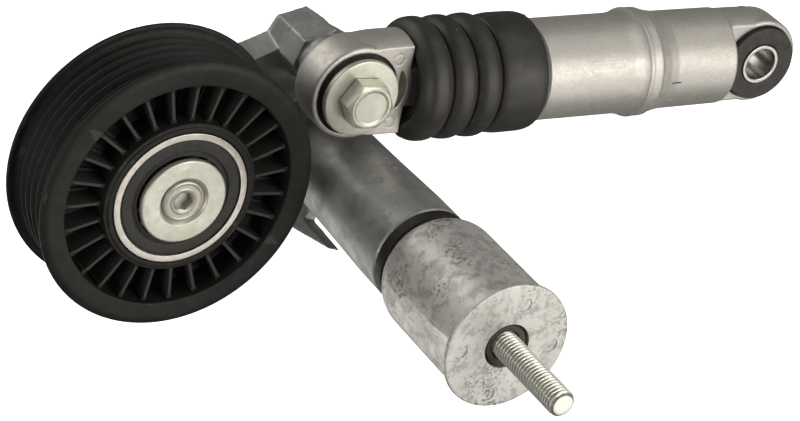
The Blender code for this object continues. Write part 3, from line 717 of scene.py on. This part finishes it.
def arm_outline(pulley_axis):
    """The arm's plate: pulley boss, pivot hub and the shoulder under the damper's eye."""
    boss = arc(pulley_axis, 13.0, 78, 268, 40)
    hub = arc((0.0, 0.0), 20.0, -125, 15, 40)
    shoulder = [(16.7, 27.0), (7.8, 34.6), (2.7, 39.2), (-5.2, 38.9), (-8.6, 34.6), (-15.5, 33.4),
                (-40.0, 31.0)]
    return boss + hub + shoulder


def hex_loft(sections, place):
    """The faceted boss behind the damper's eye, through (along, corner radius) sections."""
    corners = [(math.cos(math.radians(a)), math.sin(math.radians(a))) for a in (0, 66, 126, 174, 240, 300)]
    count = len(corners)
    verts = [(x * radius, along, z * radius) for along, radius in sections for x, z in corners]
    faces = [tuple(range(count)), tuple(range(len(verts) - count, len(verts)))[::-1]]
    for row in range(len(sections) - 1):
        for corner in range(count):
            after = (corner + 1) % count
            low, high = row * count, (row + 1) * count
            faces.append((low + corner, high + corner, high + after, low + after))
    return make("hex_boss", verts, faces, place)


def build_fin(place):
    """The pointed fin under the barrel."""
    outline = [(83.6, 18.9), (116.5, 26.0), (116.5, 12.8), (101.0, 12.8), (100.0, 18.2), (84.6, 18.5)]
    return slab("fin", outline, math.radians(241), 2.0, place)


def build_arm(places, finish):
    """The swinging arm: barrel, plate, faceted damper boss, pulley boss and fin as one casting."""
    pivot, pin, pulley = places["pivot"], places["pin"], places["pulley"]
    axis = pulley.to_translation() / MM
    arm = lathe("arm_body", [
        (47.5, 14.0), (47.5, 14.7), (48.1, 15.2), (60.0, 15.15), (82.0, 14.4), (108.0, 13.8), (116.0, 16.0),
        (125.7, 16.0), (125.7, 8.4), (113.0, 8.4), (113.0, 12.0), (53.0, 12.0), (53.0, 14.0),
    ], pivot, segments=128)
    plate = prism("plate", arm_outline((axis.x, axis.z)), 115.5, 126.0, pivot)
    hex_boss = hex_loft([
        (105.5, 9.6), (105.8, 9.9), (114.3, 9.9), (114.8, 9.3), (115.3, 9.75), (123.6, 8.7),
    ], pin)
    neck = lathe("neck", [
        (98.8, 0.0), (98.8, 7.8), (99.4, 8.4), (115.5, 8.4), (115.5, 0.0),
    ], pin, segments=SMALL_ROUND)
    boss = lathe("pulley_boss", [
        (76.0, 0.0), (76.0, 7.7), (76.5, 8.2), (89.9, 8.2), (89.9, 11.5), (116.5, 12.6), (116.5, 0.0),
    ], pulley, segments=SMALL_ROUND)
    combine(arm, [plate, hex_boss, neck, boss, build_fin(pivot)], "UNION")
    holes = [
        plug(114.0, 128.0, 8.4, pivot, segments=SMALL_ROUND),
        plug(96.0, 123.0, M8_HOLE_RADIUS, pin, segments=64),
        plug(70.0, 112.0, M8_HOLE_RADIUS, pulley, segments=64),
    ]
    combine(arm, holes, "DIFFERENCE")
    show(cast_skin(arm, finish), "arm", "arm_casting", "arm_casting")


# --- pieces: pulley and bearing ---

def groove_profile(front, rear, crest):
    """The belt grooves between the flanges, with rounded crests and roots."""
    start = (front + rear) / 2.0 - GROOVES * GROOVE_PITCH / 2.0
    points = [(start, crest, 0.3)]
    for index in range(GROOVES):
        root = start + (index + 0.5) * GROOVE_PITCH
        points.append((root, crest - GROOVE_DEPTH, 0.7))
        points.append((root + 0.5 * GROOVE_PITCH, crest, 0.7))
    return points


def build_pulley(place, finish):
    """The moulded pulley: flanges, belt grooves, ribbed web and hub."""
    low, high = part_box("pulley_rim")
    outer = (high.x - low.x) / 2.0 / MM
    front, rear = depths("pulley_rim")
    hub_front = depths("pulley_web")[0]
    web = front + WEB_DEPTH
    pulley = lathe("pulley_turned", [
        (hub_front, 20.3, 0.2), (hub_front, 21.6, 0.2), (hub_front + 0.5, 21.8, 0.2),
        (hub_front + 0.5, 22.7, 0.4), (web, 23.0, 0.8), (web, 33.3, 0.8), (front, 33.8, 0.6),
        (front, outer - 1.6, 1.2), (front + 1.0, outer, 0.9), (front + 1.7, outer, 0.3),
        (front + 2.1, outer - 0.6, 0.3),
        *groove_profile(front, rear, outer - 2.1),
        (rear - 2.1, outer - 0.6, 0.3), (rear - 1.7, outer, 0.3), (rear - 1.0, outer, 0.6),
        (rear, outer - 1.8, 0.8), (rear, 34.0, 0.6), (web + 4.0, 33.3, 0.8), (web + 4.0, 22.9, 0.8),
        (web + 8.5, 22.7, 0.4), (web + 8.5, 18.6, 0.3), (web + 1.6, 18.6), (web + 1.6, 20.3),
    ], place, segments=240)
    ribs = rib_ring("ribs", front + 1.5, web + 1.0, 0.85, place)
    feet = rib_ring("rib_feet", web - 1.0, web + 0.6, 2.2, place)
    columns = rib_columns("rib_columns", front + 1.4, web + 0.5, place)
    moulding = join_objects("pulley_moulding", [pulley, ribs, feet, columns], finish)
    show(moulding, "pulley", "nylon", "pulley_rim", "pulley_web")


def rib_angles():
    """The ribs' angles round the pulley's axis."""
    return [2.0 * math.pi * (index + RIB_PHASE) / RIBS for index in range(RIBS)]


def rib_ring(name, start, end, thickness, place):
    """The ribs between hub and rim, as one mesh of separate bars."""
    low, high = RIB_RADII
    outline = [(start, low), (end, low), (end, high), (start, high)]
    return join_objects(name, [slab(name, outline, angle, thickness / 2.0, place) for angle in rib_angles()])


def rib_columns(name, start, end, place):
    """The round columns at both ends of every rib, where it runs into the hub and the rim."""
    profile = [(start, 0.0), (start, COLUMN_RADIUS, 0.3), (end, COLUMN_RADIUS), (end, 0.0)]
    columns = []
    for angle in rib_angles():
        for radius in COLUMN_PLACES:
            spot = Matrix.Translation((radius * math.cos(angle) * MM, 0.0, radius * math.sin(angle) * MM))
            column = lathe(name, profile, spot, segments=16)
            column.data.transform(spot)
            columns.append(column)
    return join_objects(name, columns, place=place)


def join_objects(name, objects, finish=None, place=None):
    """One object of several meshes that stand in the same frame."""
    verts, faces = [], []
    for made in objects:
        offset = len(verts)
        verts += [tuple(vert.co / MM) for vert in made.data.vertices]
        faces += [tuple(index + offset for index in face.vertices) for face in made.data.polygons]
    place = place or objects[0].matrix_world.copy()
    for made in objects:
        bpy.data.objects.remove(made, do_unlink=True)
    return make(name, verts, faces, place, finish)


def build_bearing(place, finishes):
    """The bearing's rings and front seal, and the washer and bolt that clamp them."""
    front, rear = depths("bearing_outer_ring")
    outer = lathe("bearing_outer_race", [
        (front, 18.05, 0.15), (front, 20.0, 0.22), (rear, 20.0, 0.5), (rear, 18.3, 0.2), (rear - 1.5, 18.3),
        (rear - 1.5, 16.6, 0.2), (rear - 3.3, 16.6, 0.2), (rear - 4.4, 17.6, 0.8), (rear - 6.0, 17.9, 0.8),
        (rear - 7.6, 17.6, 0.8), (rear - 8.7, 16.6, 0.2), (front + 1.5, 16.6, 0.2), (front + 1.5, 18.3),
    ], place, finishes["ring"])
    show(outer, "pulley", "steel", "bearing_outer_ring")
    for side, start, sign in (("front", front + 0.2, 1.0), ("rear", rear - 0.2, -1.0)):
        seal = lathe("seal_" + side, [
            (start + sign * 1.0, 12.8, 0.2), (start + sign * 0.1, 13.0, 0.3), (start + sign * 0.1, 13.7, 0.2),
            (start + sign * 0.5, 13.9, 0.2), (start + sign * 0.5, 14.3, 0.2), (start, 14.5, 0.3),
            (start, 17.4, 0.3), (start + sign * 0.3, 17.7, 0.2), (start + sign * 0.3, 18.0, 0.2),
            (start + sign * 1.0, 18.0, 0.2),
        ], place, finishes["seal"])
        show(seal, "pulley", "rubber", side + "_seal")

    washer_front = depths("pulley_washer")[0]
    washer = lathe("pulley_washer_detail", [
        (washer_front, 7.3, 0.15), (washer_front, 12.67, 0.55), (washer_front + 1.7, 12.67, 0.3),
        (washer_front + 1.7, 5.4, 0.1), (washer_front + 1.1, 6.3, 0.15),
    ], place, finishes["zinc"])
    show(washer, "arm", "zinc_steel", "pulley_washer")
    build_socket_bolt(place, finishes["bolt"])


def build_socket_bolt(place, finish):
    """The countersunk socket bolt in the middle of the pulley."""
    front, rear = depths("pulley_bolt")

    def shape(angle, along, radius):
        if radius < 2.6 and along < front + 3.0:
            return radius * hexagon(angle)
        return radius

    bolt = lathe("pulley_bolt_detail", [
        (front + 2.5, 0.0), (front + 2.4, 2.45), (front + 0.35, 2.5), (front + 0.1, 2.95, 0.1),
        (front + 0.0, 3.3, 0.1), (front - 0.1, 3.7, 0.2), (front + 0.08, 4.0, 0.1), (front + 0.08, 5.1, 0.1),
        (front - 0.1, 5.5, 0.2), (front + 0.1, 6.1, 0.25), (front + 0.9, 6.15, 0.2),
        (front + 3.4, M8_RADIUS, 0.2), (rear - 1.0, M8_RADIUS, 0.2), (rear, 3.2, 0.1), (rear, 0.0),
    ], place, finish, segments=144, shape=shape, turn=math.radians(8))
    show(bolt, "arm", "zinc_steel", "pulley_bolt")


# --- pieces: damper ---

def build_pin(place, finishes):
    """The hex bolt, washer and sleeve through the damper's near eye."""
    front, rear = depths("damper_bolt")
    seat = front + 5.5

    def shape(angle, along, radius):
        if radius > 6.2 and along < seat + 0.05:
            limit = 6.05 + 1.75 * (along - front - 0.15)
            return min(M8_FLATS * hexagon(angle), max(6.0, limit))
        return radius

    side = [(front + 0.15 + 0.1 * step, 7.5) for step in range(11)]
    bolt = lathe("damper_bolt_detail", [
        (front + 0.35, 0.0), (front + 0.35, 4.9, 0.3), (front, 5.4, 0.2), (front, 6.0, 0.1), *side,
        (seat - 0.3, 7.5), (seat, 7.3), (seat, M8_RADIUS), (rear - 0.7, M8_RADIUS), (rear, 3.2), (rear, 0.0),
    ], place, finishes["zinc"], segments=144, shape=shape, turn=math.radians(14))
    show(bolt, "arm", "zinc_steel", "damper_bolt")

    washer_front = depths("damper_washer")[0]
    washer = lathe("damper_washer_detail", [
        (washer_front, M8_HOLE_RADIUS, 0.2), (washer_front, 11.74, 0.55), (washer_front + 1.8, 11.74, 0.3),
        (washer_front + 1.8, M8_HOLE_RADIUS, 0.2),
    ], place, finishes["zinc"])
    show(washer, "arm", "zinc_steel", "damper_washer")

    sleeve = lathe("near_sleeve_detail", [
        (84.1, M8_HOLE_RADIUS, 0.2), (84.1, 8.0, 0.5), (98.5, 8.0, 0.5), (98.5, M8_HOLE_RADIUS, 0.2),
    ], place, finishes["sleeve"], segments=SMALL_ROUND)
    show(sleeve, "arm", "steel", "near_sleeve")


def flat_bar(name, profile, half_width, place):
    """A bar turned about X from (along, radius) points, flattened front and rear."""
    start, end = profile[0][0], profile[-1][0]
    bar = lathe(name, [(start, 0.0), *profile, (end, 0.0)], place, segments=144, along="X")
    for vert in bar.data.vertices:
        vert.co.y = max(-half_width * MM, min(half_width * MM, vert.co.y))
    return bar


def eye_disc(name, radius, half_width, place):
    """An eye's disc, rounded a little in front and more at the rear."""
    return lathe(name, [
        (-half_width, 0.0), (-half_width, radius, 1.1), (half_width, radius, 3.2), (half_width, 0.0),
    ], place)


def pocket_outline(straight, centre, radius, low, high):
    """A D-shaped pocket: a straight side and an arc between two heights."""
    start = math.degrees(math.asin((low - centre[1]) / radius))
    end = math.degrees(math.asin((high - centre[1]) / radius))
    return [(straight, high), (straight, low)] + arc(centre, radius, start, end, 16)


def build_rod_eye(place, finishes):
    """The damper's near eye: a thick flat eye with a pocket, a round rib and a neck for the rod."""
    half = EYE_HALF_WIDTH
    eye = eye_disc("rod_eye_body", 14.3, half + 0.02, place)
    block = flat_bar("block", [
        (-5.0, 13.2), (-2.0, 14.0), (2.0, 14.6), (7.0, 15.1), (16.0, 15.15),
    ], half, place)
    rib = plug(-half, 2.0, 10.9, aside(place, 6.9, 0.4))
    neck = flat_bar("neck", [(14.0, 7.8), (26.0, 7.8)], 5.2, place)
    combine(eye, [block, rib, neck], "UNION")
    hole = plug(-9.0, 9.0, NEAR_EYE_HOLE, place)
    socket = plug(17.7, 28.0, 4.3, place, segments=48, along="X")
    pocket = prism("pocket", pocket_outline(13.0, (6.9, 0.4), 8.9, -5.5, 6.2), -8.0, -2.2, place)
    marks = [plug(-half - 1.0, -half + 0.22, 1.9, aside(place, *spot), segments=48) for spot in EYE_MARKS]
    pads = [plug(-half - 0.02, -half + 1.0, 1.5, aside(place, *spot), segments=48) for spot in EYE_MARKS]
    combine(eye, [hole, socket, pocket, *marks], "DIFFERENCE")
    combine(eye, pads, "UNION")
    cast_skin(eye, finishes["damper"], voxel=0.25)
    show(eye, "damper_rod", "damper_casting", "rod_eye")

    bush = lathe("near_bush_detail", [
        (-6.9, 8.3, 0.2), (-6.9, 11.1, 0.4), (-6.0, 11.4, 0.3), (-5.2, 11.7, 0.3), (-5.6, 12.4, 0.2),
        (5.9, 12.4, 0.2), (5.2, 11.9, 0.4), (4.6, 10.6, 0.8), (5.3, 9.4, 0.5), (5.9, 8.3, 0.2),
    ], place, finishes["bush"])
    show(bush, "damper_rod", "rubber", "near_bush")


def bellows_profile():
    """The bellows' wall: an end wall, three folds and a long cuff on the damper's body."""
    crest, valley = FOLD_CREST, FOLD_VALLEY
    inner_crest, inner_valley = crest - BELLOWS_WALL, valley - BELLOWS_WALL
    outside = [(18.6, 10.6, 0.3), (16.5, 12.4, 0.8), (16.4, 13.4, 0.8), (17.4, 15.9, 1.2)]
    inside = []
    for middle, half in FOLDS:
        outside += [(middle - half * 0.5, crest - 0.25, 1.4), (middle + half * 0.35, crest, 1.4),
                    (middle + half * 0.80, crest - 1.1, 0.7), (middle + half, valley, 0.25),
                    (middle + half * 1.08, valley + 0.9, 0.3)]
        inside += [(middle, inner_crest, 1.0), (middle + half, inner_valley, 1.0)]
    cuff = [(43.4, 16.9, 0.8), (46.4, 17.5, 1.5), (55.0, 17.45, 1.6), (57.0, 16.9, 0.8), (57.5, 15.9, 0.6),
            (57.5, 14.7, 0.3), (45.2, 14.5, 0.5)]
    lip = [(20.4, 12.2, 0.5), (20.2, 8.4, 0.2), (18.6, 8.4, 0.3)]
    return outside + cuff + inside[::-1] + lip


def build_bellows(place, finish):
    """The rubber bellows with its two moulding seams, its mesh baked in place."""
    seams = (math.radians(82), math.radians(262))

    def shape(angle, along, radius):
        if radius <= 16.5:
            return radius
        distance = min(abs(angle - seam) for seam in seams)
        return radius + 0.22 * math.exp(-(distance / 0.02) ** 2)

    bellows = lathe("bellows_detail", bellows_profile(), place, finish, segments=240, along="X", shape=shape)
    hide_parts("bellows")
    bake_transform(bellows)


def arrow_outline(tip, tail, half_head, half_shaft, head):
    """An arrow that points towards -X, as (along, across) points."""
    return [(tip, 0.0), (tip + head, half_head), (tip + head, half_shaft), (tail, half_shaft),
            (tail, -half_shaft), (tip + head, -half_shaft), (tip + head, -half_head)]


def raised_line(name, start, end, radius, middle, width, height, place):
    """A raised line between two (along, across) points on a round body, middle radians above its front."""
    steps = max(2, int(math.dist(start, end) / 0.6))
    run = Vector((end[0] - start[0], end[1] - start[1])).normalized()
    side = Vector((-run.y, run.x)) * width / 2.0
    reach = run * width / 2.0
    verts, faces = [], []
    for step in range(steps + 1):
        share = step / steps
        spot = (Vector(start) - reach) * (1.0 - share) + (Vector(end) + reach) * share
        for lift, flank in ((-0.3, 1.0), (height, 0.7), (height, -0.7), (-0.3, -1.0)):
            point = spot + side * flank
            angle = middle + point.y / radius
            out = radius + lift
            verts.append((point.x, -out * math.cos(angle), out * math.sin(angle)))
    for step in range(steps):
        for corner in range(4):
            after = (corner + 1) % 4
            first, second = 4 * step, 4 * step + 4
            faces.append((first + corner, first + after, second + after, second + corner))
    faces.append((3, 2, 1, 0))
    faces.append(tuple(range(4 * steps, 4 * steps + 4)))
    return make(name, verts, faces, place)


def build_arrows(place, finishes):
    """The two plain arrows on the damper's body: a raised outline and a small dark stamp."""
    outline = arrow_outline(69.9, 84.5, 2.5, 1.1, 3.6)
    lines = [raised_line("arrow_line", outline[index - 1], outline[index], BODY_RADIUS, math.radians(26),
                         0.34, 0.10, place)
             for index in range(len(outline))]
    big = join_objects("arrow_outline", lines, finishes["damper"])
    show(big, "damper_housing", "damper_casting")
    strokes = (((101.3, 0.0), (105.1, 0.0)), ((101.3, 0.0), (102.1, 0.55)), ((101.3, 0.0), (102.1, -0.55)))
    lines = [raised_line("stamp_line", start, end, 14.80, math.radians(-0.5), 0.26, 0.12, place)
             for start, end in strokes]
    small = join_objects("arrow_stamp", lines, finishes["nylon"])
    show(small, "damper_housing", "damper_casting")


def build_damper_body(place, far_place, finishes):
    """The damper's cast body with its bead, and the far eye on its end."""
    body = lathe("damper_body_detail", [
        (46.0, 9.6), (46.0, 13.8), (46.5, 14.2), (58.7, 14.2), (59.1, BODY_RADIUS), (88.6, BODY_RADIUS),
        (91.4, 15.45), (92.9, 15.95), (93.3, 16.3), (93.9, 16.3), (94.3, 16.15), (97.3, 16.2), (97.9, 15.8),
        (101.2, 15.0), (104.0, 14.6), (125.4, 14.46, 0.3), (125.4, 0.5), (117.0, 0.5), (117.0, 9.6),
    ], place, segments=144, along="X")
    half = EYE_HALF_WIDTH
    block = flat_bar("far_block", [(121.0, 14.2), (134.0, 14.1), (138.6, 13.6), (142.6, 12.9)], half, place)
    eye = eye_disc("far_eye", 13.5, half + 0.02, far_place)
    combine(body, [block, eye], "UNION")
    combine(body, [plug(-20.0, 20.0, FAR_EYE_HOLE, far_place)], "DIFFERENCE")
    cast_skin(body, finishes["damper"], softening=4)
    show(body, "damper_housing", "damper_casting", "damper_body")

    bush = lathe("far_bush_detail", [
        (-7.9, 6.5, 0.2), (-8.1, 7.2, 0.4), (-8.1, 11.6, 0.35), (-7.5, 11.85, 0.25), (-6.9, 11.3, 0.4),
        (-5.0, 11.6, 0.3), (5.0, 11.6, 0.3), (6.9, 11.3, 0.4), (7.5, 11.85, 0.25), (8.1, 11.6, 0.35),
        (8.1, 7.2, 0.4), (7.9, 6.5, 0.2),
    ], far_place, finishes["bush"])
    show(bush, "damper_housing", "rubber", "far_bush")
    sleeve = lathe("far_sleeve_detail", [
        (-8.3, 5.0, 0.45), (-8.3, 6.36, 0.3), (8.3, 6.36, 0.3), (8.3, 5.0, 0.45),
    ], far_place, finishes["sleeve"], segments=SMALL_ROUND)
    show(sleeve, "far_sleeve", "steel", "far_sleeve")


# --- hidden pieces ---

INNER_FINISHES = {
    "steel": ("pivot_tube", "bearing_inner_ring", "pulley_spacer", "piston_rod", "piston", "piston_nut",
              "rod_guide", "pressure_tube"),
    "spring": ("torsion_spring",),
    "plastic": ("thrust_washer", "pivot_bush", "ball_cage", "piston_ring", "foot_valve"),
    "zinc": ("end_washer",),
    "seal": ("rod_seal",),
    "ring": tuple("ball_%d" % number for number in range(1, 9)),
}


def dress_inner_pieces(nodes, finishes):
    """The CAD pieces that keep their own mesh get a procedural finish."""
    for finish, names in INNER_FINISHES.items():
        for name in names:
            nodes[name].data.materials.clear()
            nodes[name].data.materials.append(finishes[finish])


# --- stage ---

def build_camera():
    """The camera at the photograph's angle."""
    azimuth, elevation = CAMERA_AZIMUTH, CAMERA_ELEVATION
    back = Vector((math.sin(azimuth) * math.cos(elevation), -math.cos(azimuth) * math.cos(elevation),
                   math.sin(elevation)))
    right = Vector((math.cos(azimuth), math.sin(azimuth), 0.0))
    up = back.cross(right)
    data = bpy.data.cameras.new("camera")
    data.lens = CAMERA_LENS
    data.sensor_width = SENSOR_WIDTH
    data.clip_start = 0.01
    data.clip_end = 20.0
    camera = bpy.data.objects.new("camera", data)
    camera.matrix_world = Matrix((right, up, back)).transposed().to_4x4()
    camera.location = (back * CAMERA_DISTANCE - right * CAMERA_SIDE - up * CAMERA_RISE) * MM
    bpy.context.scene.collection.objects.link(camera)
    bpy.context.scene.camera = camera


def area_light(name, location, size, power):
    """A softbox that faces the object."""
    data = bpy.data.lights.new(name, "AREA")
    data.shape = "RECTANGLE"
    data.size, data.size_y = size
    data.energy = power
    data.color = LIGHT_COLOUR
    light = bpy.data.objects.new(name, data)
    light.location = location
    light.rotation_euler = (Vector(LIGHT_TARGET) - Vector(location)).to_track_quat("-Z", "Y").to_euler()
    bpy.context.scene.collection.objects.link(light)


def build_stage(lowest):
    """A white floor that throws no light and shows no shadow, soft lights and a plain surrounding."""
    half = 6.0
    mesh = bpy.data.meshes.new("floor")
    corners = [(-half, -half, lowest), (half, -half, lowest), (half, half, lowest), (-half, half, lowest)]
    mesh.from_pydata(corners, [], [(0, 1, 2, 3)])
    s = Surface("floor_white", roughness=0.8)
    s.shader.inputs["Emission Color"].default_value = (1.0, 1.0, 1.0, 1.0)
    s.shader.inputs["Emission Strength"].default_value = 1.0
    mesh.materials.append(s.finish(s.mix(s.noise(400.0), (0.88, 0.88, 0.87), (0.92, 0.92, 0.91))))
    floor = bpy.data.objects.new("floor", mesh)
    floor.visible_diffuse = False
    floor.visible_glossy = False
    floor.visible_shadow = False
    bpy.context.scene.collection.objects.link(floor)

    world = bpy.data.worlds.new("studio")
    world.use_nodes = True
    world.node_tree.nodes["Background"].inputs["Color"].default_value = (1.0, 1.0, 1.0, 1.0)
    world.node_tree.nodes["Background"].inputs["Strength"].default_value = WORLD_STRENGTH
    bpy.context.scene.world = world
    for name, location, size, power in LIGHTS:
        area_light(name, location, size, power)
    bpy.context.scene.view_settings.view_transform = "Standard"


def main():
    """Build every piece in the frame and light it."""
    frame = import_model()
    cad_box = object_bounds()
    places = axes_of(frame)
    finishes = make_materials()

    build_camera()
    dress_inner_pieces(frame["nodes"], finishes)
    build_base(places["pivot"], finishes)
    build_mounting_bolt(places["pivot"], finishes["thread"])
    build_arm(places, finishes["arm"])
    build_pulley(places["pulley"], finishes["nylon"])
    build_bearing(places["pulley"], finishes)
    build_pin(places["pin"], finishes)
    build_rod_eye(places["damper"], finishes)
    build_bellows(places["damper"], finishes["bellows"])
    build_damper_body(places["damper"], places["far_eye"], finishes)
    build_arrows(places["damper"], finishes)
    build_stage(cad_box[0].z - FLOOR_DROP)


main()
